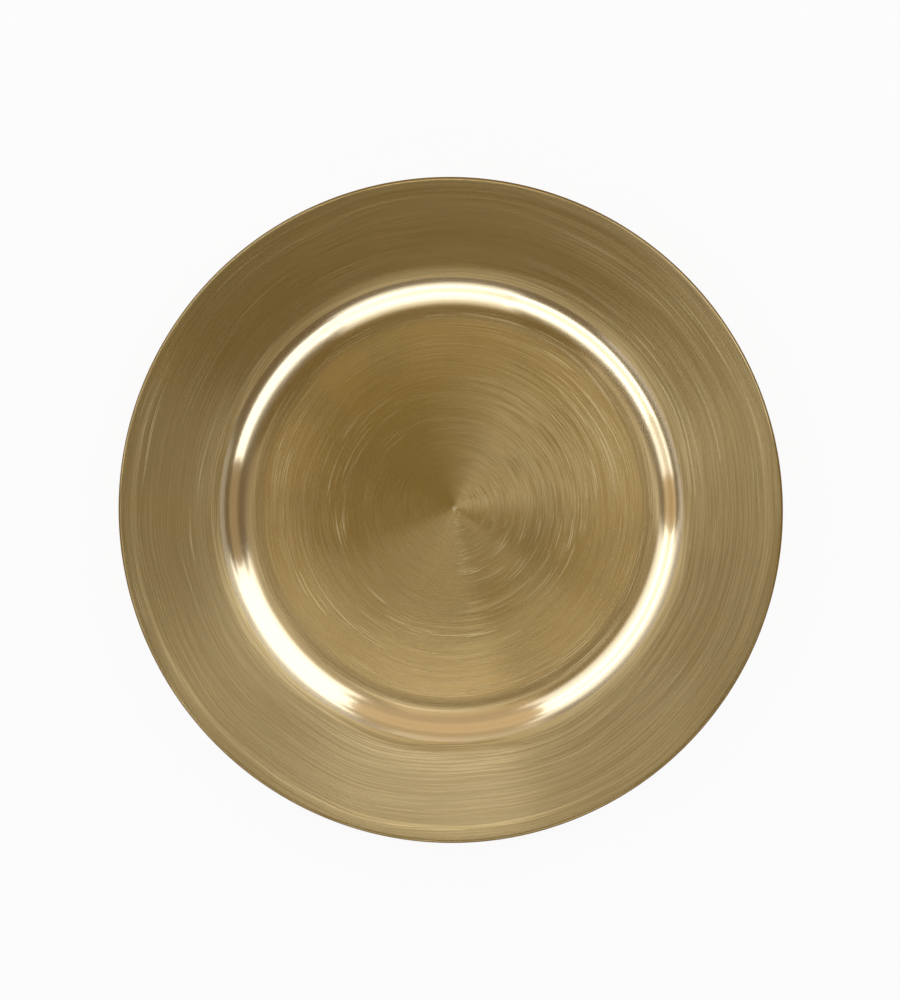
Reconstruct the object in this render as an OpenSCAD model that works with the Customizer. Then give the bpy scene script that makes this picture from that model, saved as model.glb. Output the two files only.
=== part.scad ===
// Round charger plate: a moulded plate with a sunk well, a rounded step, a rising crowned rim and a
// flatter lip. A brushed gold layer covers the top and the edge, a plain gold coat the underside.
// Sizes in millimetres. The plate stands on its foot ring at z = 0, with its axis on z.

/* [Plate] */
// Overall diameter over the gold
plate_d = 330; // [280:1:360]
// Diameter of the flat part of the well floor
well_d = 194; // [186:1:202]

/* [Step] */
// Rise from the well floor to the inner edge of the rim
step_depth = 10; // [9:0.5:13]
// Steepest slope of the step wall, in degrees
wall_slope = 43; // [37:1:46]
// Radius of the hollow at the foot of the step
root_r = 17; // [11:0.5:19]
// Radius of the round shoulder at the top of the step
shoulder_r = 11; // [7:0.5:14]
// Slope at which the shoulder passes into the easier flare, in degrees
flare_slope = 22; // [18:1:26]
// Radius of the flare that leads on to the rim
flare_r = 36; // [24:1:48]

/* [Rim] */
// Slope of the rim at its inner edge, in degrees
rim_slope_in = 11; // [10:0.5:14]
// Slope of the rim where the lip starts, in degrees
rim_slope_out = 8.5; // [5:0.5:9]

/* [Lip] */
// Radius of the bend from the rim to the lip
lip_bend_r = 5; // [4:0.5:8]
// Slope to which the lip flattens, in degrees
lip_slope = 5; // [2:0.5:8]
// Radial length of the straight part of the lip
lip_run = 4.5; // [2:0.5:7]

/* [Layers] */
// Wall thickness of the moulding
core_t = 2.4; // [1.8:0.1:3]
// Thickness of each gold layer
gold_t = 0.3; // [0.2:0.05:0.5]

/* [Foot ring] */
// Distance from the edge of the flat well floor in to the bearing face
foot_inset = 5; // [3:0.5:50]
// Width of the bearing face
foot_w = 2.6; // [1.6:0.2:5]
// Height of the foot ring below the moulding
foot_h = 2.2; // [1.8:0.1:5]
// Draft of the foot ring's sides, in degrees
foot_draft = 12; // [3:1:20]
// Radius of the rounded edges of the bearing face
foot_edge_r = 0.5; // [0.3:0.1:0.8]
// Height of bare plastic left above the bearing face
foot_bare = 0.8; // [0.6:0.1:1.2]

/* [Hidden] */

turn_segments = 240;
arc_step = 0.5;
least_segments = 96;
// How far each round stands past the surfaces that it blends into
blend = 0.01;

// Direction at right angles to a surface of the given slope, on its upper side
function up(slope) = [-sin(slope), cos(slope)];
// Direction along a surface of the given slope, outwards
function along(slope) = [cos(slope), sin(slope)];
function segments(r) = max(least_segments, ceil(2 * PI * r / arc_step));

plate_r = plate_d / 2;
well_r = well_d / 2;
floor_z = foot_h + core_t;
nose_r = core_t / 2;
lip_len = lip_run / cos(lip_slope);

// Length of straight wall left between the rounds of the step
root_rise = root_r * (1 - cos(wall_slope));
shoulder_rise = shoulder_r * (cos(flare_slope) - cos(wall_slope));
flare_rise = flare_r * (cos(rim_slope_in) - cos(flare_slope));
wall_len = (step_depth - root_rise - shoulder_rise - flare_rise) / sin(wall_slope);

// Centres of the rounds, found one after the other along the top of the moulding
root_c = [well_r, floor_z + root_r];
wall_end = root_c - root_r * up(wall_slope) + wall_len * along(wall_slope);
shoulder_c = wall_end - shoulder_r * up(wall_slope);
flare_c = shoulder_c - (flare_r - shoulder_r) * up(flare_slope);
bend_x = plate_r - blend - gold_t - nose_r - lip_run + (lip_bend_r - nose_r) * sin(lip_slope);
rim_run = bend_x - flare_c.x + flare_r * sin(rim_slope_in) - lip_bend_r * sin(rim_slope_out);
crown_r = rim_run / (sin(rim_slope_in) - sin(rim_slope_out));
crown_c = flare_c - (crown_r - flare_r) * up(rim_slope_in);
bend_c = crown_c + (crown_r - lip_bend_r) * up(rim_slope_out);
lip_end = bend_c + lip_bend_r * up(lip_slope) + lip_len * along(lip_slope);
nose_c = lip_end - nose_r * up(lip_slope);
// How far the flat helper shapes reach past the plate
reach = plate_r;
// Point far past the end of the lip, out to which the flat shapes follow its slope
lip_past = lip_end + reach * along(lip_slope);
// Half depth of the strip that picks the rim out of its circle
strip = 2;

// Middle of the bearing face, and the height of the centres of its two rounded edges
foot_mid_r = well_r - foot_inset - foot_w / 2;
foot_edge_z = foot_edge_r - blend;

// Point on a round, at a height level above the top of the moulding
function on_round(c, r, slope, level) = c + (r + level) * up(slope);

// Corners of the surface that runs level above the top of the moulding, from the lip inwards
function corners(level) = [
    lip_past + level * up(lip_slope),
    on_round(bend_c, lip_bend_r, lip_slope, level),
    on_round(bend_c, lip_bend_r, rim_slope_out, level),
    on_round(flare_c, flare_r, rim_slope_in, level),
    on_round(shoulder_c, shoulder_r, flare_slope, level),
    on_round(shoulder_c, shoulder_r, wall_slope, level),
    on_round(root_c, -root_r, wall_slope, level),
    [well_r, floor_z + level],
    [0, floor_z + level]
];

// A disc about a point
module disc(c, r) {
    translate(c)
        circle(r = r, $fn = segments(r));
}

// The crowned top of the rim, as a strip of a very large disc
module crown(level) {
    r = crown_r + level;
    intersection() {
        disc(crown_c, r);
        polygon([
            crown_c + (r - strip) * up(rim_slope_in),
            crown_c + (r - strip) * up(rim_slope_out),
            crown_c + (r + strip) * up(rim_slope_out),
            crown_c + (r + strip) * up(rim_slope_in)
        ]);
    }
}

// Everything below the surface that runs level above the top of the moulding
module below(level) {
    difference() {
        polygon(concat(
            [[0, -reach], [lip_past.x - level * sin(lip_slope), -reach]],
            corners(level)
        ));
        disc(root_c, root_r - level + blend);
    }
    disc(shoulder_c, shoulder_r + level + 2 * blend);
    disc(flare_c, flare_r + level + blend);
    disc(bend_c, lip_bend_r + level + blend);
    crown(level);
}

// Half of the drawing plane on the inner side of the lip's end
module inside_lip_end() {
    polygon([
        nose_c - reach * up(lip_slope),
        nose_c + reach * up(lip_slope),
        nose_c + reach * up(lip_slope) - 2 * reach * along(lip_slope),
        nose_c - reach * up(lip_slope) - 2 * reach * along(lip_slope)
    ]);
}

// Cross-section of the foot ring with its sides grown outwards
module foot_section(grow) {
    r = foot_edge_r + grow;
    low = [foot_w / 2, foot_edge_z] + (r - blend) * [cos(foot_draft), -sin(foot_draft)];
    rise = foot_h + nose_r - low.y;
    high = low + [rise * tan(foot_draft), rise];
    translate([foot_mid_r, 0])
        difference() {
            union() {
                polygon([
                    [-foot_w / 2, -foot_edge_r],
                    [foot_w / 2, -foot_edge_r],
                    low,
                    high,
                    [-high.x, high.y],
                    [-low.x, low.y]
                ]);
                for (side = [-1, 1])
                    disc([side * foot_w / 2, foot_edge_z], r);
            }
            translate([-reach, -reach])
                square([2 * reach, reach]);
        }
}

// Cross-section of the plate grown evenly on every side
module plate_section(grow) {
    intersection() {
        difference() {
            below(grow);
            below(-core_t - grow);
        }
        inside_lip_end();
    }
    disc(nose_c, nose_r + grow + blend);
    foot_section(grow);
}

// Cross-section of all the gold together
module gold_section() {
    difference() {
        plate_section(gold_t);
        plate_section(0);
        translate([0, -foot_bare])
            square([plate_r, 2 * foot_bare]);
    }
}

// The side of the drawing plane that the underside coat lies on
module under_side() {
    intersection() {
        below(-nose_r);
        inside_lip_end();
    }
}

// Everything nearer to the axis than the middle of the foot ring
module inside_foot() {
    translate([0, -reach])
        square([foot_mid_r, 2 * reach]);
}

// Moulded plate with its foot ring
module moulded_core() {
    color("#3b3a38")
        rotate_extrude($fn = turn_segments)
            plate_section(0);
}

// Brushed gold layer over the top and round the edge
module gold_face() {
    color("#a98c4f")
        rotate_extrude($fn = turn_segments)
            difference() {
                gold_section();
                under_side();
            }
}

// Plain gold coat on the underside, from the edge in to the foot ring
module gold_back() {
    color("#8f7843")
        rotate_extrude($fn = turn_segments)
            difference() {
                intersection() {
                    gold_section();
                    under_side();
                }
                inside_foot();
            }
}

// Plain gold coat on the underside, inside the foot ring
module gold_base() {
    color("#8f7843")
        rotate_extrude($fn = turn_segments)
            intersection() {
                gold_section();
                under_side();
                inside_foot();
            }
}

moulded_core();
gold_face();
gold_back();
gold_base();
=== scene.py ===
# %% [markdown]
# # A brushed-gold charger plate
#
# A charger is the wide under-plate that stays on the table while the dinner plate on top of it changes.
# This one is a plastic moulding with a hand-brushed gold layer bonded over its face and a plain sprayed
# gold coat below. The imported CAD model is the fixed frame: everything here is in metres in that frame, so
# each new surface lies exactly where its solid lies.

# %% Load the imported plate
import math

import bpy
import numpy as np
from mathutils import Matrix, Vector


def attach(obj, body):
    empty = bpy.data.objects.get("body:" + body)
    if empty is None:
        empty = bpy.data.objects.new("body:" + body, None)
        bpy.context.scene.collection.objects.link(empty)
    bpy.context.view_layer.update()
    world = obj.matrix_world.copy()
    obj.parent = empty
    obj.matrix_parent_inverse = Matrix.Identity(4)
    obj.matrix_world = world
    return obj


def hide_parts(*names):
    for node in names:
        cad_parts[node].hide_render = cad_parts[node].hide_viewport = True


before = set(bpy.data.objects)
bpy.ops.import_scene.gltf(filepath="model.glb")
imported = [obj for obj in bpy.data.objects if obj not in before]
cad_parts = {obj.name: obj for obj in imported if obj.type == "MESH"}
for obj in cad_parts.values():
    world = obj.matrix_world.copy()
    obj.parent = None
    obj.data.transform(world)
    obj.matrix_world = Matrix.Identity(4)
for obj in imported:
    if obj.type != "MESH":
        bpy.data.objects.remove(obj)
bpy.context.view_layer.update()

# %% [markdown]
# ## The turned profile
#
# The plate is the same all round, so its whole form is one cross-section. A lathe-turned curve could be
# drawn by hand as a Bezier, but then every radius would be a guess. Here the section is worked out the way
# the mould maker dimensions it: flats and arcs that meet at a common slope. Each layer of the plate runs at
# its own level above or below the top of the moulding, so one function serves every surface.

# %% Sizes of the section, in millimetres and degrees
PLATE_R, WELL_R = 165.0, 97.0
STEP_DEPTH, WALL_SLOPE, ROOT_R, SHOULDER_R = 10.0, 43.0, 17.0, 11.0
FLARE_SLOPE, FLARE_R = 22.0, 36.0
RIM_SLOPE_IN, RIM_SLOPE_OUT = 11.0, 8.5
LIP_BEND_R, LIP_SLOPE, LIP_RUN = 5.0, 5.0, 4.5
CORE_T, GOLD_T = 2.4, 0.3
FOOT_INSET, FOOT_W, FOOT_H, FOOT_DRAFT = 5.0, 2.6, 2.2, 12.0
FOOT_EDGE_R, FOOT_BARE = 0.5, 0.8
BLEND = 0.01
NOSE_R = CORE_T / 2
FLOOR_Z = FOOT_H + CORE_T
print("plate %.0f mm across, well %.0f mm, its floor %.1f mm up" % (2 * PLATE_R, 2 * WELL_R, FLOOR_Z))


# %% Directions on a slope
def sin(degrees):
    return math.sin(math.radians(degrees))


def cos(degrees):
    return math.cos(math.radians(degrees))


def up(slope):
    """Unit vector at right angles to a surface of this slope: minus its sine outwards, its cosine up."""
    a = np.radians(slope)
    return np.stack([-np.sin(a), np.cos(a)], axis=-1)


def along(slope):
    """Unit vector that climbs a surface of this slope: its cosine outwards, its sine up."""
    a = np.radians(slope)
    return np.stack([np.cos(a), np.sin(a)], axis=-1)


print("the steepest wall climbs along", along(WALL_SLOPE).round(3).tolist())

# %% Centres of the rounds, one after the other from the well outwards
rounds_rise = (
    ROOT_R * (1 - cos(WALL_SLOPE))
    + SHOULDER_R * (cos(FLARE_SLOPE) - cos(WALL_SLOPE))
    + FLARE_R * (cos(RIM_SLOPE_IN) - cos(FLARE_SLOPE))
)
wall_len = (STEP_DEPTH - rounds_rise) / sin(WALL_SLOPE)
root_c = np.array([WELL_R, FLOOR_Z + ROOT_R])
shoulder_c = root_c - (ROOT_R + SHOULDER_R) * up(WALL_SLOPE) + wall_len * along(WALL_SLOPE)
flare_c = shoulder_c - (FLARE_R - SHOULDER_R) * up(FLARE_SLOPE)
bend_x = PLATE_R - BLEND - GOLD_T - NOSE_R - LIP_RUN + (LIP_BEND_R - NOSE_R) * sin(LIP_SLOPE)
rim_run = bend_x - flare_c[0] + FLARE_R * sin(RIM_SLOPE_IN) - LIP_BEND_R * sin(RIM_SLOPE_OUT)
crown_r = rim_run / (sin(RIM_SLOPE_IN) - sin(RIM_SLOPE_OUT))
crown_c = flare_c - (crown_r - FLARE_R) * up(RIM_SLOPE_IN)
bend_c = crown_c + (crown_r - LIP_BEND_R) * up(RIM_SLOPE_OUT)
lip_end = bend_c + LIP_BEND_R * up(LIP_SLOPE) + LIP_RUN / cos(LIP_SLOPE) * along(LIP_SLOPE)
nose_c = lip_end - NOSE_R * up(LIP_SLOPE)
print("straight wall %.2f mm, crown radius %.0f mm, lip ends at %.2f mm" % (wall_len, crown_r, lip_end[0]))


# %% The upper line of a layer
def arc(centre, radius, slope_a, slope_b, count):
    """Points on a round: centre plus radius times the upward normal, as the slope goes from a to b."""
    return centre + radius * up(np.linspace(slope_a, slope_b, count))


def surface(level, fine=1.0):
    """From the well's middle out to the lip, a constant distance above the top of the moulding."""
    n = [round(k * fine) for k in (28, 30, 20, 14, 36, 6, 5)]
    floor = np.stack([np.linspace(0, WELL_R, n[0]), np.full(n[0], FLOOR_Z + level)], axis=-1)
    rounds = [
        arc(root_c, level - ROOT_R, 0, WALL_SLOPE, n[1])[1:],
        arc(shoulder_c, SHOULDER_R + level, WALL_SLOPE, FLARE_SLOPE, n[2]),
        arc(flare_c, FLARE_R + level, FLARE_SLOPE, RIM_SLOPE_IN, n[3])[1:],
        arc(crown_c, crown_r + level, RIM_SLOPE_IN, RIM_SLOPE_OUT, n[4])[1:],
        arc(bend_c, LIP_BEND_R + level, RIM_SLOPE_OUT, LIP_SLOPE, n[5])[1:],
    ]
    lip = lip_end + level * up(LIP_SLOPE)
    return np.concatenate([floor, *rounds, np.linspace(rounds[-1][-1], lip, n[6])[1:]])


top_line = surface(GOLD_T)
print("upper line of the gold:", len(top_line), "points, highest %.3f mm" % top_line[:, 1].max())


# %% The nose of the lip and the sides of the foot ring
def nose(level, count):
    """Half a turn round the end of the lip, from its top to its underside."""
    return arc(nose_c, NOSE_R + level, LIP_SLOPE, LIP_SLOPE - 180, count)


def foot_side(grow, side, low, count):
    """One side of the foot ring from the floor down to a height: a drafted flat, then its rounded edge."""
    mid = WELL_R - FOOT_INSET - FOOT_W / 2
    top = FOOT_H - grow
    edge_c = np.array([FOOT_W / 2, FOOT_EDGE_R])
    turn = np.radians(np.linspace(-FOOT_DRAFT, -90, count))
    edge = edge_c + (FOOT_EDGE_R + grow) * np.stack([np.cos(turn), np.sin(turn)], axis=-1)
    rise = np.linspace(top - edge[0, 1], 0, 6)[:-1, None]
    line = np.concatenate([edge[0] + rise * [math.tan(math.radians(FOOT_DRAFT)), 1], edge])
    if low > 0:
        height = np.linspace(top, low, 8)
        line = np.stack([np.interp(-height, -line[:, 1], line[:, 0]), height], axis=-1)
    return line * [side, 1] + [mid, 0]


print("the gold's edge reaches %.2f mm from the axis" % nose(GOLD_T, 25)[:, 0].max())

# %% [markdown]
# ## Turning a section into a mesh
#
# The Screw modifier would turn a section too, but it gives no map that follows the brushing. Here the
# surface is computed as a grid of section by angle, all at once, with its own map: one axis counts
# metres along the section and the other the turn. The brushed finish takes its direction from it.

# %% Turn a section about the axis
TURNS = 360
SHARP = math.radians(40)


def turned(name, section, ring=False):
    """Each point (r, z) of the section becomes a circle: r times cosine and sine of the angle, at height z.

    A ring's section is closed on itself. Any other starts and ends on the axis, with one point there."""
    if ring:
        section = np.concatenate([section, section[:1]])
    length = np.concatenate([[0], np.cumsum(np.hypot(*np.diff(section, axis=0).T))])
    turn = np.arange(TURNS)
    angle = 2 * math.pi * turn / TURNS
    r, z = (section[:-1] if ring else section[1:-1]).T[:, :, None]
    points = np.stack(np.broadcast_arrays(r * np.cos(angle), r * np.sin(angle), z), axis=-1).reshape(-1, 3)
    rows = np.arange(len(points)).reshape(-1, TURNS)
    if ring:
        rows = np.concatenate([rows, rows[:1]])
    else:
        ends = len(points) + np.arange(2)[:, None].repeat(TURNS, axis=1)
        rows = np.concatenate([ends[:1], rows, ends[1:]])
        points = np.concatenate([points, [[0, 0, section[0, 1]], [0, 0, section[-1, 1]]]])

    low, high = rows[:-1], rows[1:]
    corners = np.stack([low, high, np.roll(high, -1, axis=1), np.roll(low, -1, axis=1)], axis=-1)
    u = np.stack([length[:-1], length[1:], length[1:], length[:-1]], axis=-1)[:, None] / 1000
    v = np.stack([turn, turn, turn + 1, turn + 1], axis=-1) / TURNS
    uv = np.stack(np.broadcast_arrays(u, v), axis=-1)
    # Next to the axis two corners of each face are the same point, and one of them is left out
    kept = np.ones(corners.shape, dtype=bool)
    if not ring:
        kept[0, :, 3] = False
        kept[-1, :, 2] = False
    stops = np.cumsum(kept.sum(axis=-1).ravel())[:-1]

    mesh = bpy.data.meshes.new(name)
    faces = [face.tolist() for face in np.split(corners[kept], stops)]
    mesh.from_pydata((points / 1000).tolist(), [], faces)
    layer = mesh.uv_layers.new(name="section_by_turn")
    layer.data.foreach_set("uv", uv[kept].astype(np.float32).ravel())
    mesh.polygons.foreach_set("use_smooth", np.ones(len(mesh.polygons), dtype=bool))
    mesh.set_sharp_from_angle(angle=SHARP)
    mesh.update()
    mesh.calc_loop_triangles()
    piece = bpy.data.objects.new(name, mesh)
    bpy.context.scene.collection.objects.link(piece)
    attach(piece, "root")
    print(name, len(mesh.vertices), "points,", len(mesh.loop_triangles), "triangles")
    return piece


# %% [markdown]
# ## The brushed face
#
# On the real plate one thin gold layer wraps the whole upper side and the edge. The moulding could simply
# wear two materials, but then the layer could not be swapped or worn through by itself. So it is a thin
# closed skin: out along its upper side, round the nose of the lip, and back along the moulding.

# %% Gold face
inner_line = surface(0, 0.5)[::-1]
face_section = np.concatenate([top_line, nose(GOLD_T, 25)[1:], nose(0, 13)[::-1], inner_line[1:]])
face = turned("brushed_face", face_section)
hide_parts("gold_face")

# %% [markdown]
# ## The sprayed coats
#
# The underside gets a plain coat of gold paint, and the bearing face of the foot ring is masked or rubbed
# bare. That parts the coat in two: a wide ring outside the foot and a round inside it. Each is a closed
# skin like the face. The outer one closes on itself as a ring, and the inner one ends on the axis.

# %% Coat outside the foot ring
CLEAR = 0.5
under_core = surface(-CORE_T, 0.7)
under_coat = surface(-CORE_T - GOLD_T, 0.9)
core_foot_out = foot_side(0, 1, FOOT_BARE, 4)
coat_foot_out = foot_side(GOLD_T, 1, FOOT_BARE, 4)
back_section = np.concatenate(
    [
        core_foot_out[::-1],
        under_core[under_core[:, 0] > core_foot_out[0, 0] + CLEAR],
        under_coat[under_coat[:, 0] > coat_foot_out[0, 0] + CLEAR][::-1],
        coat_foot_out,
    ]
)
back = turned("sprayed_back", back_section, ring=True)
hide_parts("gold_back")

# %% Coat inside the foot ring
core_foot_in = foot_side(0, -1, FOOT_BARE, 4)
coat_foot_in = foot_side(GOLD_T, -1, FOOT_BARE, 4)
outwards = np.linspace(0, 1, 12)[:, None]
inwards = outwards[::-1][1:]
base_section = np.concatenate(
    [
        outwards * [core_foot_in[0, 0], 0] + [0, FOOT_H],
        core_foot_in[1:],
        coat_foot_in[::-1],
        inwards * [coat_foot_in[0, 0], 0] + [0, FOOT_H - GOLD_T],
    ]
)
base = turned("sprayed_base", base_section)
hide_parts("gold_base")

# %% [markdown]
# ## The moulded plate
#
# The body is one injection moulding with its foot ring. Most of it lies under gold, and only the bearing
# face of the ring shows. It is still made whole, so that the plate stays right if a layer is hidden or
# taken off.

# %% Moulded plate
whole_out = foot_side(0, 1, 0, 8)
whole_in = foot_side(0, -1, 0, 8)
core_section = np.concatenate(
    [
        surface(0, 0.5),
        nose(0, 13)[1:],
        under_core[under_core[:, 0] > whole_out[0, 0] + CLEAR][::-1],
        whole_out,
        whole_in[::-1],
        inwards * [whole_in[0, 0], 0] + [0, FOOT_H],
    ]
)
core = turned("moulded_plate", core_section)
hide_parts("moulded_core")

# %% [markdown]
# ## Building materials from nodes
#
# A material here is a small graph. One function adds any node: its settings are given by name, and each
# input is either a value or the output of an earlier node. Colours are written as the sRGB hex that a paint
# chart would give, and one function turns them to the linear light that the renderer works in.


# %% Node and colour helpers
def add(tree, kind, inputs=(), **settings):
    """Adds one node: settings by name, and inputs in order or by name, each a value or an output.

    An earlier node may be given whole, and then stands for the first output that it has in use."""
    made = tree.nodes.new("ShaderNode" + kind)
    for key, value in settings.items():
        setattr(made, key, value)
    for key, value in inputs.items() if isinstance(inputs, dict) else enumerate(inputs):
        if isinstance(value, bpy.types.Node):
            value = next(output for output in value.outputs if output.enabled)
        if isinstance(value, bpy.types.NodeSocket):
            tree.links.new(value, made.inputs[key])
        else:
            made.inputs[key].default_value = value
    return made


def colour(code):
    """Linear colour of an sRGB hex: each channel over 12.92 in the dark part, else its power of 2.4."""
    c = np.array([int(code[k : k + 2], 16) for k in (1, 3, 5)]) / 255
    return (*np.where(c <= 0.04045, c / 12.92, ((c + 0.055) / 1.055) ** 2.4).tolist(), 1.0)


def material(name, *wearers):
    """The empty graph of a new material, put on the pieces that wear it."""
    made = bpy.data.materials.new(name)
    made.use_nodes = True
    made.node_tree.nodes.clear()
    for piece in wearers:
        piece.data.materials.append(made)
    return made.node_tree


SMOOTH = {"interpolation_type": "SMOOTHSTEP"}
TO_MM = (1000, 1000, 1000)
# Places of the factor and the two ends of a Mix node that mixes vectors, and of one that mixes colours
VECTORS, COLOURS = (0, 4, 5), (0, 6, 7)
print("brass yellow in linear light:", [round(v, 3) for v in colour("#bd9239")])

# %% [markdown]
# ## Brushed gold
#
# The face is a gold layer under clear lacquer, brushed by hand while the plate turns. To the eye that gives
# wedges of light that fan out from the middle, because each stroke is a groove that spreads light across
# itself, fine lines that run round, and a warm body colour where no light is mirrored. A photograph of
# brushed metal could be wrapped round the plate, but it would carry its own light with it. Here everything
# follows from where a point lies: its distance from the axis, and its heading from the point that the brush
# turned about, which is a little off the axis.

# %% Brushed gold: where a point lies, in millimetres
BRUSH_CENTRE = (0.9, 0.45, 0)
WANDER_MM, WANDER_SHARE = 70, 0.05
gold = material("brushed_gold_foil_under_lacquer", face)
gold_at = add(gold, "TexCoord").outputs["Object"]
gold_mm = add(gold, "VectorMath", [gold_at, TO_MM], operation="MULTIPLY")
level = add(gold, "VectorMath", [gold_mm, (1, 1, 0)], operation="MULTIPLY")
axis_r = add(gold, "VectorMath", [level], operation="LENGTH").outputs["Value"]
from_brush = add(gold, "VectorMath", [level, BRUSH_CENTRE], operation="SUBTRACT")
heading = add(gold, "VectorMath", [from_brush], operation="NORMALIZE")
reach = add(gold, "VectorMath", [from_brush], operation="LENGTH").outputs["Value"]
wander = add(gold, "TexNoise", {"Vector": gold_mm, "Scale": 1 / WANDER_MM, "Detail": 1.0})
sway = add(gold, "Math", [reach, WANDER_SHARE], operation="MULTIPLY")
brush_r = add(gold, "Math", [wander, sway, reach], operation="MULTIPLY_ADD")
print("the hand wanders by up to %.1f mm at the edge" % (PLATE_R * WANDER_SHARE))

# %% [markdown]
# ## Strokes
#
# A stroke is a groove a few hundredths of a millimetre wide and several centimetres long. A Wave texture
# gives rings, but even ones that close on themselves. Noise on a tube is closer: heading runs round the
# tube and distance runs along it, so the noise is drawn out round the plate and meets itself without a
# seam. Real strokes are finer than a pixel, so these are 0.5 to 4 mm wide, as coarse as they need to be to
# show.


# %% Brushed gold: strokes
def strokes(width, sweep, shift, detail=1.0):
    """Noise on a tube, less its middle value: a stroke is sweep degrees long and width mm wide."""
    turn = math.degrees(1) / sweep
    along_tube = add(gold, "Math", [brush_r, 1 / width, shift], operation="MULTIPLY_ADD")
    on_tube = add(gold, "CombineXYZ", {"Z": along_tube})
    on_tube = add(gold, "VectorMath", [heading, (turn, turn, 0), on_tube], operation="MULTIPLY_ADD")
    noise = add(gold, "TexNoise", {"Vector": on_tube, "Scale": 1.0, "Detail": detail, "Roughness": 0.6})
    return add(gold, "Math", [noise, 0.5], operation="SUBTRACT")


# Depth is the slope of a groove's side, and tone is how far it shows pale or dark
cut, grain = 0.0, 0.0
for width, sweep, shift, detail, depth, tone in [
    (0.5, 20, 0, 2.0, 0.14, 3.0),
    (0.9, 40, 300, 1.0, 0.12, 1.6),
    (4.0, 50, 700, 1.0, 0.06, 0.6),
]:
    stroke = strokes(width, sweep, shift, detail)
    cut = add(gold, "Math", [stroke, depth, cut], operation="MULTIPLY_ADD")
    grain = add(gold, "Math", [stroke, tone, grain], operation="MULTIPLY_ADD")
print("strokes:", len(gold.nodes), "nodes so far")

# %% [markdown]
# ## Where the brush pressed
#
# The brush bites at the outside of the well and on the inner rim and goes lightly over the middle. It
# hardly reaches the hollow of the step, which stays polished, and it was lifted at the back. The depth and
# tone of the strokes and the roughness could be painted by hand, but on a turned plate they follow from
# distance and heading.

# %% Brushed gold: where it is polished and where the brush was lifted
# Distances from the axis over which one kind of surface passes into the next
INTO_POLISH, PAST_POLISH = (96.5, 102.5), (114.6, 116.0)
LIFTED_AT = (-0.2, 0.98, 0)
into_step = add(gold, "MapRange", [axis_r, *INTO_POLISH, 0.0, 1.0], **SMOOTH)
polish = add(gold, "MapRange", [axis_r, *PAST_POLISH, into_step, 0.0], **SMOOTH)
towards_back = add(gold, "VectorMath", [heading, LIFTED_AT], operation="DOT_PRODUCT").outputs["Value"]
calm = add(gold, "MapRange", [towards_back, 0.3, 0.95, 1.0, 0.3], **SMOOTH)
print("polished ring from %.1f to %.1f mm" % (INTO_POLISH[0], PAST_POLISH[1]))

# %% Brushed gold: how deep the strokes are
WELL_PRESS, RIM_PRESS, POLISHED_PRESS = (0.6, 1.8), (2.0, 1.0), 0.1
# The brush passes from the well to the rim within the polished step, where neither shows
PASS_OVER = (105.0, 106.0)
well_press = add(gold, "MapRange", [axis_r, 30.0, 93.0, *WELL_PRESS], **SMOOTH)
rim_press = add(gold, "MapRange", [axis_r, 118.0, 123.0, *RIM_PRESS], **SMOOTH)
press = add(gold, "MapRange", [axis_r, *PASS_OVER, well_press, rim_press])
press = add(gold, "MapRange", [polish, 0.0, 1.0, press, POLISHED_PRESS])
press = add(gold, "Math", [press, calm], operation="MULTIPLY")
cut = add(gold, "Math", [cut, press], operation="MULTIPLY")
print("depth of the strokes:", len(gold.nodes), "nodes so far")

# %% Brushed gold: how rough it is and how clearly the strokes show
WELL_ROUGH, RIM_ROUGH, POLISHED_ROUGH = (0.15, 0.24), (0.36, 0.22), 0.18
WELL_FIRM, RIM_FIRM, POLISHED_FIRM = (0.6, 2.1), (2.4, 1.2), 0.12
well_rough = add(gold, "MapRange", [axis_r, 55.0, 93.0, *WELL_ROUGH], **SMOOTH)
rim_rough = add(gold, "MapRange", [axis_r, 117.5, 123.0, *RIM_ROUGH], **SMOOTH)
rough = add(gold, "MapRange", [axis_r, *PASS_OVER, well_rough, rim_rough])
rough = add(gold, "MapRange", [polish, 0.0, 1.0, rough, POLISHED_ROUGH])
well_firm = add(gold, "MapRange", [axis_r, 30.0, 80.0, *WELL_FIRM], **SMOOTH)
rim_firm = add(gold, "MapRange", [axis_r, 117.0, 128.0, *RIM_FIRM], **SMOOTH)
firm = add(gold, "MapRange", [axis_r, *PASS_OVER, well_firm, rim_firm])
firm = add(gold, "Math", [firm, calm], operation="MULTIPLY")
firm = add(gold, "MapRange", [polish, 0.0, 1.0, firm, POLISHED_FIRM])
grain = add(gold, "Math", [grain, firm, 0.5], operation="MULTIPLY_ADD")
print("roughness and tone:", len(gold.nodes), "nodes so far")

# %% [markdown]
# ## Scores, specks and the nib
#
# A few bristles dig deeper and leave single pale arcs. Their paleness is partly painted glint, and more of
# them are let through at the back right, where the light boxes glint in the strokes: that is painted
# highlight. Dust under the lacquer leaves specks, and where the brush turned on the spot a small pale spot
# is painted as the glint there. Each is a mask: scores are the peaks of long strokes where a slower pattern
# lets them through, specks are the middles of a few cells.

# %% Brushed gold: scores
# Painted highlight: more pale scores are let through towards the back right, where the light boxes glint in
# the strokes
GLINTS_AT = (0.82, 0.57, 0)
thin = add(gold, "MapRange", [strokes(0.8, 30, 2100), 0.09, 0.2, 0.0, 1.0])
towards_glints = add(gold, "VectorMath", [heading, GLINTS_AT], operation="DOT_PRODUCT").outputs["Value"]
more_glints = add(gold, "MapRange", [towards_glints, 0.7, 1.0, 0.0, 0.12])
some = add(gold, "Math", [strokes(14.0, 70, 2600), more_glints], operation="ADD")
some = add(gold, "MapRange", [some, -0.03, 0.1, 0.0, 1.0])
scores_and_glints = add(gold, "Math", [thin, some], operation="MULTIPLY")
scores_and_glints = add(gold, "Math", [scores_and_glints, firm], operation="MULTIPLY")
print("scores:", len(gold.nodes), "nodes so far")

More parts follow.
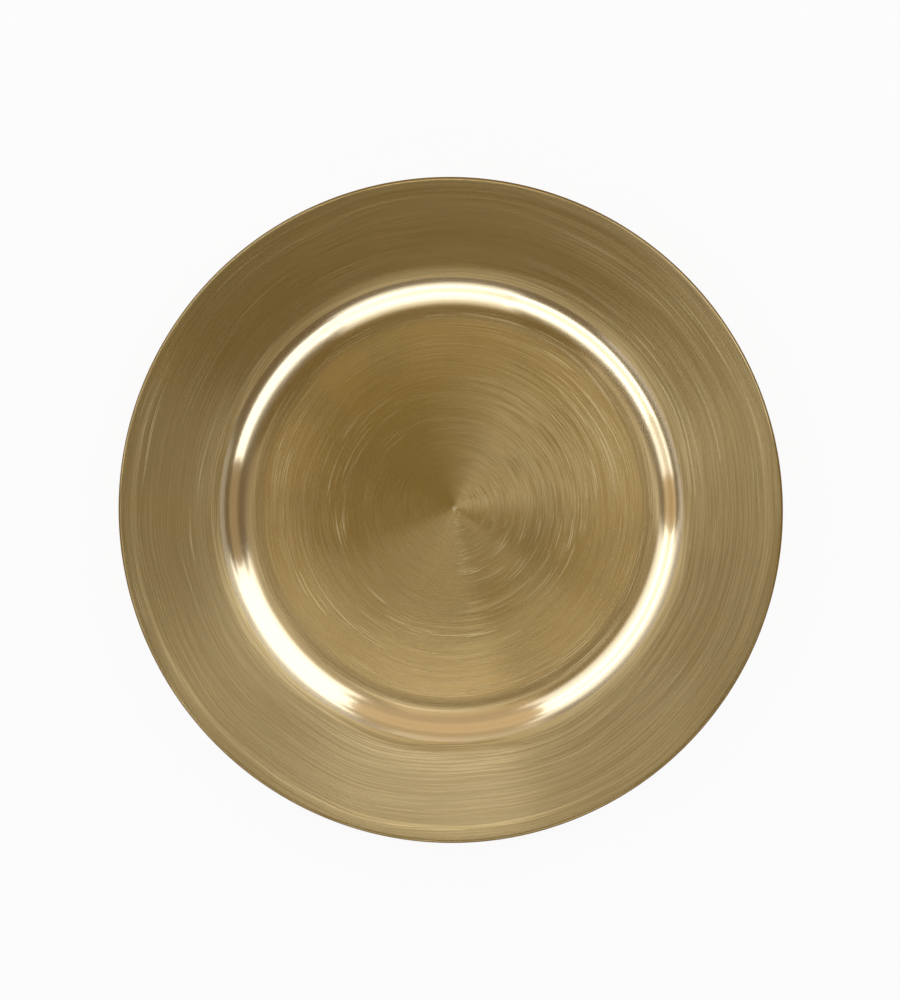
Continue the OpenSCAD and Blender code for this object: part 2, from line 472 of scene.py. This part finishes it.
# %% Brushed gold: specks and the nib
# A speck is full inside its first radius and gone at its second
SPECK_SPACING, SPECK_IN, SPECK_OUT = 24.0, 0.3, 0.53
cell = add(gold, "TexVoronoi", {"Vector": gold_mm, "Scale": 1 / SPECK_SPACING})
chance = add(gold, "SeparateColor", [cell.outputs["Color"]])
speck_edge = [SPECK_IN / SPECK_SPACING, SPECK_OUT / SPECK_SPACING]
speck = add(gold, "MapRange", [cell.outputs["Distance"], *speck_edge, 1.0, 0.0])
speck = add(gold, "MapRange", [chance, 0.6, 0.7, 0.0, speck])
# Painted glint: a small pale spot where the strokes turn about
nib_glint = add(gold, "MapRange", [reach, 0.7, 1.5, 1.0, 0.0], **SMOOTH)
rim_share = add(gold, "MapRange", [axis_r, 112.0, 118.0, 1.0, 0.6])
marks_and_glints = add(gold, "Math", [scores_and_glints, rim_share, nib_glint], operation="MULTIPLY_ADD")
marks_and_glints = add(gold, "Math", [marks_and_glints, speck], operation="ADD", use_clamp=True)
rough = add(gold, "Math", [marks_and_glints, 0.12, rough], operation="MULTIPLY_ADD")
print("specks of %.1f mm, about %.0f mm apart" % (2 * SPECK_OUT, SPECK_SPACING))

# %% [markdown]
# ## The colours of the gold
#
# The layer mirrors light as pale yellow metal, and between its flakes a deeper ochre shows, which gives the
# plate its body colour where nothing bright is mirrored. So there are two sets of colours. The metal goes
# from dark to light with the strokes, is palest on the polished step and duller in one band of the rim. The
# ochre is browner on the rim. It is painted lighter and warmer towards the outside of the well, which is
# painted light, and darker in the root of the step, which is painted shade. Its pale marks are partly
# painted glints, and its dark brown on the edge is painted shade.

# %% Brushed gold: colours of the metal
band = add(gold, "MapRange", [axis_r, 127.0, 132.0, 0.0, -0.2], **SMOOTH)
band = add(gold, "MapRange", [axis_r, 141.0, 146.0, band, 0.0], **SMOOTH)
shine = add(gold, "Math", [marks_and_glints, 0.5, grain], operation="MULTIPLY_ADD")
shine = add(gold, "Math", [shine, band], operation="ADD", use_clamp=True)
bright = add(gold, "MapRange", [axis_r, 101.0, 105.0, 0.0, polish], **SMOOTH)
sheen = dict(zip(COLOURS, (shine, colour("#cab78b"), colour("#ffeab6"))))
sheen = add(gold, "Mix", sheen, data_type="RGBA")
sheen = add(gold, "Mix", dict(zip(COLOURS, (bright, sheen, colour("#f0e4c6")))), data_type="RGBA")
print("colours of the metal:", len(gold.nodes), "nodes so far")

# %% Brushed gold: colours of the ochre
OCHRE_PATCH_MM = 30
past_step = add(gold, "MapRange", [axis_r, 112.0, 118.0, 0.0, 1.0], **SMOOTH)
patch = add(gold, "TexNoise", {"Vector": gold_mm, "Scale": 1 / OCHRE_PATCH_MM, "Detail": 3.0})
patch = add(gold, "Math", [patch, 0.5], operation="SUBTRACT")
patch = add(gold, "Math", [patch, 1.6, past_step], operation="MULTIPLY_ADD", use_clamp=True)
# Painted light: the ochre gets lighter and warmer towards the outside of the well
outer_well_light = add(gold, "MapRange", [axis_r, 50.0, 88.0, 0.0, 1.0])
# Painted shade: the ochre gets darker in the hollow at the root of the step
root_shade = add(gold, "MapRange", [axis_r, 92.0, 97.0, 0.0, 1.0], **SMOOTH)
# Scores, specks and the nib turn the ochre pale; on the scores and the nib this is a painted glint
pale_marks_and_glints = add(gold, "Math", [marks_and_glints, 0.45], operation="MULTIPLY")
# Painted shade: the ochre turns dark brown on the rounded edge
edge_shade = add(gold, "MapRange", [axis_r, 163.8, 164.5, 0.0, 1.0], **SMOOTH)
ochre = colour("#bd9239")
for share, code in [
    (outer_well_light, "#d0a144"),
    (root_shade, "#b28634"),
    (patch, "#a07e36"),
    (bright, "#c4953f"),
    (pale_marks_and_glints, "#f3e2b0"),
    (edge_shade, "#6f572c"),
]:
    ochre = add(gold, "Mix", dict(zip(COLOURS, (share, ochre, colour(code)))), data_type="RGBA")
print("colours of the ochre:", len(gold.nodes), "nodes so far")

# %% [markdown]
# ## The lie of the surface
#
# A brush leaves more of one side of each groove than of the other, so a brushed ring mirrors as if it were
# tilted. The well mirrors as a very shallow dish would, the strip above the step as if slightly hollow,
# and the lip as if creased. These slopes are about a tenth or less. In the mesh they would change the
# form, so they lean the normal along the radius instead, together with the sides of the strokes. A Bump
# node would need a height for that, and would blur it over a pixel.

# %% Brushed gold: slopes
HOLLOW_CENTRE = (-1.0, 5.0, 0)
aside = add(gold, "VectorMath", [level, HOLLOW_CENTRE], operation="DISTANCE").outputs["Value"]
slope = add(gold, "MapRange", [aside, 50.0, 96.0, -0.07, -0.125])
slope = add(gold, "MapRange", [aside, 97.0, 105.0, slope, 0.0], **SMOOTH)
# From one distance to the other, the slope passes into the one given
for start, end, value in [
    (114.6, 116.2, -0.035),
    (118.0, 122.0, 0.0),
    (155.8, 157.2, -0.08),
    (159.0, 161.0, -0.06),
    (163.6, 164.2, 0.0),
]:
    slope = add(gold, "MapRange", [axis_r, start, end, slope, value], **SMOOTH)
slope = add(gold, "Math", [cut, slope], operation="ADD")
print("slopes:", len(gold.nodes), "nodes so far")

# %% Brushed gold: the facing that the slopes give
# Heading is steady in the middle, where the map narrows to a point, and the map is true on the step
along_section = add(gold, "Tangent", direction_type="UV_MAP", uv_map="section_by_turn")
outside = add(gold, "MapRange", [axis_r, 60.0, 90.0, 0.0, 1.0])
across_strokes = dict(zip(VECTORS, (outside, heading, along_section)))
across_strokes = add(gold, "Mix", across_strokes, data_type="VECTOR")
lean = add(gold, "VectorMath", {0: across_strokes, "Scale": slope}, operation="SCALE")
facing = add(gold, "VectorMath", [add(gold, "NewGeometry").outputs["Normal"], lean], operation="ADD")
facing = add(gold, "VectorMath", [facing], operation="NORMALIZE")
print("facing:", len(gold.nodes), "nodes so far")

# %% [markdown]
# ## The gold's shader
#
# The metal is rough across the strokes and smooth along them, which is what anisotropy means, and the
# lacquer is a thin clear coat with a little haze. The ochre between the flakes is plain matt colour. Mixing
# the two shaders keeps both true, where a half-metallic shader would tint its highlights with the ochre.
# The step is polished nearly to bare metal, and the edge is painted a dark brown, which is painted shade
# along the rounded edge.

# %% Brushed gold: shader
# On the edge the dark ochre nearly replaces the metal, which is painted shade
OCHRE_SHARE, OCHRE_ON_STEP, OCHRE_ON_EDGE = 0.4, 0.25, 0.97
metal = {
    "Base Color": sheen,
    "Metallic": 1.0,
    "Roughness": rough,
    "Anisotropic": 0.85,
    "Tangent": across_strokes,
    "Normal": facing,
    "Coat Weight": 0.6,
    "Coat Roughness": 0.16,
}
metal = add(gold, "BsdfPrincipled", metal)
body = {"Base Color": ochre, "Roughness": 0.5, "Specular IOR Level": 0.0, "Normal": facing}
body = add(gold, "BsdfPrincipled", body)
ochre_share = add(gold, "MapRange", [bright, 0.0, 1.0, OCHRE_SHARE, OCHRE_ON_STEP])
ochre_share = add(gold, "MapRange", [edge_shade, 0.0, 1.0, ochre_share, OCHRE_ON_EDGE])
add(gold, "OutputMaterial", [add(gold, "MixShader", [ochre_share, metal, body])])
print("brushed gold:", len(gold.nodes), "nodes")

# %% [markdown]
# ## Sprayed gold
#
# The coat below is metallic paint: fine flakes in a clear binder, sprayed once and left as it fell. To the
# eye it is an even satin with a slight sparkle, faint clouds where the gun passed twice, and the soft
# ripple called orange peel. Cells of random brightness stand for the flakes. Real ones are hundredths of a
# millimetre across, so they are drawn at 0.4 mm to show.

# %% Sprayed gold
FLAKE_MM, CLOUD_MM, PEEL_MM, PEEL_DEPTH = 0.4, 35.0, 2.2, 0.0002
sprayed = material("sprayed_gold_paint", back, base)
sprayed_at = add(sprayed, "TexCoord").outputs["Object"]
sprayed_mm = add(sprayed, "VectorMath", [sprayed_at, TO_MM], operation="MULTIPLY")
flake = add(sprayed, "TexVoronoi", {"Vector": sprayed_mm, "Scale": 1 / FLAKE_MM})
cloud = add(sprayed, "TexNoise", {"Vector": sprayed_mm, "Scale": 1 / CLOUD_MM, "Detail": 3.0})
sparkle = add(sprayed, "SeparateColor", [flake.outputs["Color"]])
shade = add(sprayed, "Math", [sparkle, 0.35, cloud], operation="MULTIPLY_ADD")
shade = add(sprayed, "MapRange", [shade, 0.35, 1.0, 0.0, 1.0])
paint = dict(zip(COLOURS, (shade, colour("#8d7140"), colour("#b2945a"))))
paint = add(sprayed, "Mix", paint, data_type="RGBA")
satin = add(sprayed, "MapRange", [cloud, 0.3, 0.7, 0.38, 0.5])
peel = add(sprayed, "TexNoise", {"Vector": sprayed_mm, "Scale": 1 / PEEL_MM, "Detail": 1.0})
rippled = add(sprayed, "Bump", {"Strength": 0.25, "Distance": PEEL_DEPTH, "Height": peel})
coat = {"Base Color": paint, "Metallic": 0.8, "Roughness": satin, "Normal": rippled}
add(sprayed, "OutputMaterial", [add(sprayed, "BsdfPrincipled", coat)])
print("sprayed gold:", len(sprayed.nodes), "nodes")

# %% [markdown]
# ## Bare polypropylene
#
# The bearing face of the foot ring is bare moulded plastic, dark tan so that a scratch in the gold hardly
# shows. Its mould was spark-eroded, which leaves a fine matt grain, and the resin is faintly cloudy. The
# grain is about 0.1 mm on the real face and is drawn at a third of a millimetre so that it shows.

# %% Bare plastic
RESIN_CLOUD_MM, GRAIN_MM, GRAIN_DEPTH = 12.0, 0.333, 0.00005
plastic = material("bare_moulded_polypropylene", core)
plastic_at = add(plastic, "TexCoord").outputs["Object"]
plastic_mm = add(plastic, "VectorMath", [plastic_at, TO_MM], operation="MULTIPLY")
cloud = add(plastic, "TexNoise", {"Vector": plastic_mm, "Scale": 1 / RESIN_CLOUD_MM, "Detail": 3.0})
resin = dict(zip(COLOURS, (cloud, colour("#64533a"), colour("#74624a"))))
resin = add(plastic, "Mix", resin, data_type="RGBA")
eroded = add(plastic, "TexNoise", {"Vector": plastic_mm, "Scale": 1 / GRAIN_MM, "Detail": 2.0})
eroded = add(plastic, "Bump", {"Strength": 0.3, "Distance": GRAIN_DEPTH, "Height": eroded})
bare = {"Base Color": resin, "Roughness": 0.5, "IOR": 1.49, "Normal": eroded}
add(plastic, "OutputMaterial", [add(plastic, "BsdfPrincipled", bare)])
print("bare plastic:", len(plastic.nodes), "nodes")

# %% [markdown]
# ## The floor sheet
#
# The plate lies on a white sheet that is lit until it reads as white paper. More light would bleach the
# plate as well, so the sheet is matt and only looks white: to the camera and to mirror rays it mostly glows
# at a strength of 1, and the small matt share keeps the plate's soft shadow. Seen from below it is clear,
# so that the underside can be looked at.

# %% Floor
FLOOR_HALF = 3.0
corners = [(x * FLOOR_HALF, y * FLOOR_HALF, 0) for x, y in ((-1, -1), (1, -1), (1, 1), (-1, 1))]
floor_mesh = bpy.data.meshes.new("studio_floor")
floor_mesh.from_pydata(corners, [], [(0, 1, 2, 3)])
floor = bpy.data.objects.new("studio_floor", floor_mesh)
bpy.context.scene.collection.objects.link(floor)
print("floor:", 2 * FLOOR_HALF, "m square")

# %% Floor sheet
GLOW_SHARE = 0.93
sheet = material("white_floor_sheet", floor)
matt = add(sheet, "BsdfDiffuse", {"Color": (0.8, 0.8, 0.8, 1)})
glow = add(sheet, "Emission", {"Color": (1, 1, 1, 1), "Strength": 1.0})
ray = add(sheet, "LightPath").outputs
seen = add(sheet, "Math", [ray["Is Camera Ray"], ray["Is Glossy Ray"]], operation="MAXIMUM")
seen = add(sheet, "Math", [seen, ray["Is Transmission Ray"]], operation="MAXIMUM")
seen = add(sheet, "Math", [seen, GLOW_SHARE], operation="MULTIPLY")
above = add(sheet, "MixShader", [seen, matt, glow])
below = add(sheet, "NewGeometry").outputs["Backfacing"]
add(sheet, "OutputMaterial", [add(sheet, "MixShader", [below, above, add(sheet, "BsdfTransparent")])])
print("floor sheet:", len(sheet.nodes), "nodes")

# %% [markdown]
# ## The room
#
# Metal shows whatever stands round it, so the room matters as much as the lamps. It is dim and plain, a
# little darker overhead. It fills the gaps between the light boxes and adds hardly any light by itself.

# %% Room
room = bpy.data.worlds.new("studio_room")
bpy.context.scene.world = room
room.use_nodes = True
room.node_tree.nodes.clear()
direction = add(room.node_tree, "SeparateXYZ", [add(room.node_tree, "TexCoord").outputs["Generated"]])
dim = add(room.node_tree, "MapRange", [direction.outputs["Z"], 0.6, 0.9, 0.06, 0.04], **SMOOTH)
backdrop = add(room.node_tree, "Background", {"Color": (1, 1, 1, 1), "Strength": dim})
add(room.node_tree, "OutputWorld", [backdrop])
print("room:", len(room.node_tree.nodes), "nodes")

# %% [markdown]
# ## Light boxes
#
# The bright arcs on the step are mirror images of light boxes low down round the plate, and the gaps
# between the arcs show where no box stands. The wedges in the well and on the rim are mirror images of
# weaker boxes overhead. So each box is given as the patch of sky that it fills: a range of azimuth and one
# of zenith. A sky texture could hold the same patches, but lamps are easier to move and cast cleaner
# shadows. Together with the room they light a level surface to about 0.8 of full white, so that a colour
# comes out a little darker than it is written and pale ones keep from clipping.


# %% A light box
def softbox(name, az, zen, radiance, tint="#ffffff", distance=3.0):
    """An even rectangle of light that faces the plate: ranges of azimuth, from +X towards +Y, and of zenith.

    Its sides are twice the distance times the tangents of half the angles it spans, and its power is pi
    times its radiance times its area. It returns its light on a level surface: radiance times half the
    azimuth it spans times the difference of the squared sines of its zenith angles, over pi."""
    azimuth, zenith = math.radians(sum(az) / 2), math.radians(sum(zen) / 2)
    half_az, half_zen = math.radians(az[1] - az[0]) / 2, math.radians(zen[1] - zen[0]) / 2
    lamp = bpy.data.lights.new(name, "AREA")
    lamp.shape = "RECTANGLE"
    flat = distance * math.sin(zenith)
    lamp.size = 2 * flat * math.tan(half_az)
    lamp.size_y = 2 * distance * math.tan(half_zen)
    lamp.energy = radiance * math.pi * lamp.size * lamp.size_y
    lamp.color = colour(tint)[:3]
    box = bpy.data.objects.new(name, lamp)
    height = distance * math.cos(zenith)
    box.location = (flat * math.cos(azimuth), flat * math.sin(azimuth), height)
    box.rotation_euler = (zenith, 0, azimuth + math.pi / 2)
    box.visible_camera = False
    bpy.context.scene.collection.objects.link(box)
    return radiance * half_az * (sin(zen[1]) ** 2 - sin(zen[0]) ** 2) / math.pi


# %% Lights: azimuth, zenith and radiance of each box, and its tint where it is not white
WARM, WARMER = "#fff0da", "#ffe6c2"
boxes = [
    ("right_back_low", (14, 66), (62, 89), 2.3),
    ("right_back_high", (14, 66), (36, 62), 2.1),
    ("left_back_low", (120, 178), (66, 89), 2.6),
    ("left_back_high", (120, 178), (42, 66), 1.4),
    ("back_low", (66, 120), (66, 89), 0.68, WARMER),
    ("back_high", (66, 120), (37, 66), 0.46, WARMER),
    ("left_gap_low", (178, 191), (66, 89), 0.6, WARMER),
    ("left_high", (180, 226), (32, 41), 1.25),
    ("left_low", (191, 205), (66, 89), 1.8),
    ("front_left_low", (205, 250), (66, 89), 2.9),
    ("front_low", (250, 300), (66, 89), 2.5),
    ("front_high", (248, 295), (49, 66), 1.15),
    ("front_right_low", (300, 343), (66, 89), 2.5),
    ("right_gap_low", (343, 374), (66, 89), 0.26, WARMER),
    ("over_back", (80, 122), (11.5, 23.5), 1.4),
    ("over_back_high", (80, 125), (25, 37), 0.8, WARM),
    ("over_right_back", (30, 80), (9, 25), 0.56),
    ("over_right_back_high", (30, 80), (25, 36), 0.35),
    ("over_right", (-30, 30), (12, 37), 0.42),
    ("over_left_back", (122, 160), (11, 24), 0.6),
    ("over_left", (158, 206), (17, 28), 0.42),
    ("over_left_low", (190, 234), (7, 15), 0.52),
    ("over_middle", (60, 150), (0, 9), 0.2),
]
light = sum(softbox("box_" + name, *patch_of_sky) for name, *patch_of_sky in boxes)
print("%d boxes, light on the level plate %.2f" % (len(boxes), light))

# %% [markdown]
# ## Camera
#
# The plate is seen from almost straight above with a long lens. The tilt can't be read from the outline,
# which hardly changes, but the sunk well shifts inside the rim as the camera tilts, and that gives both its
# size and its side. The lens then follows from how many pixels the plate's radius fills, and the aim from
# where its middle lies in the picture.

# %% Camera
IMAGE_HEIGHT, OUTLINE_PX, SHIFT_PX = 1000, 333.45, (0.2, 10.4)
TILT, TOWARDS, DISTANCE, RIM_HEIGHT = 5.5, 27.0, 5.0, 0.0205
px_per_m = OUTLINE_PX / (PLATE_R / 1000)
away = Vector((sin(TILT) * cos(TOWARDS), sin(TILT) * sin(TOWARDS), cos(TILT)))
across = Vector((0, 1, 0)).cross(away).normalized()
upwards = away.cross(across)
lens = bpy.data.cameras.new("camera")
lens.sensor_width = 36.0
lens.lens = px_per_m * DISTANCE * lens.sensor_width / IMAGE_HEIGHT
lens.clip_end = 20.0
camera = bpy.data.objects.new("camera", lens)
camera.rotation_mode = "QUATERNION"
camera.rotation_quaternion = Matrix((across, upwards, away)).transposed().to_quaternion()
aim = Vector((0, 0, RIM_HEIGHT)) + (across * SHIFT_PX[0] + upwards * SHIFT_PX[1]) / px_per_m
camera.location = aim + away * DISTANCE
bpy.context.scene.collection.objects.link(camera)
bpy.context.scene.camera = camera
bpy.context.scene.view_settings.view_transform = "Standard"
print("lens %.0f mm at %.1f m, %.3f mm to a pixel" % (lens.lens, DISTANCE, 1000 / px_per_m))
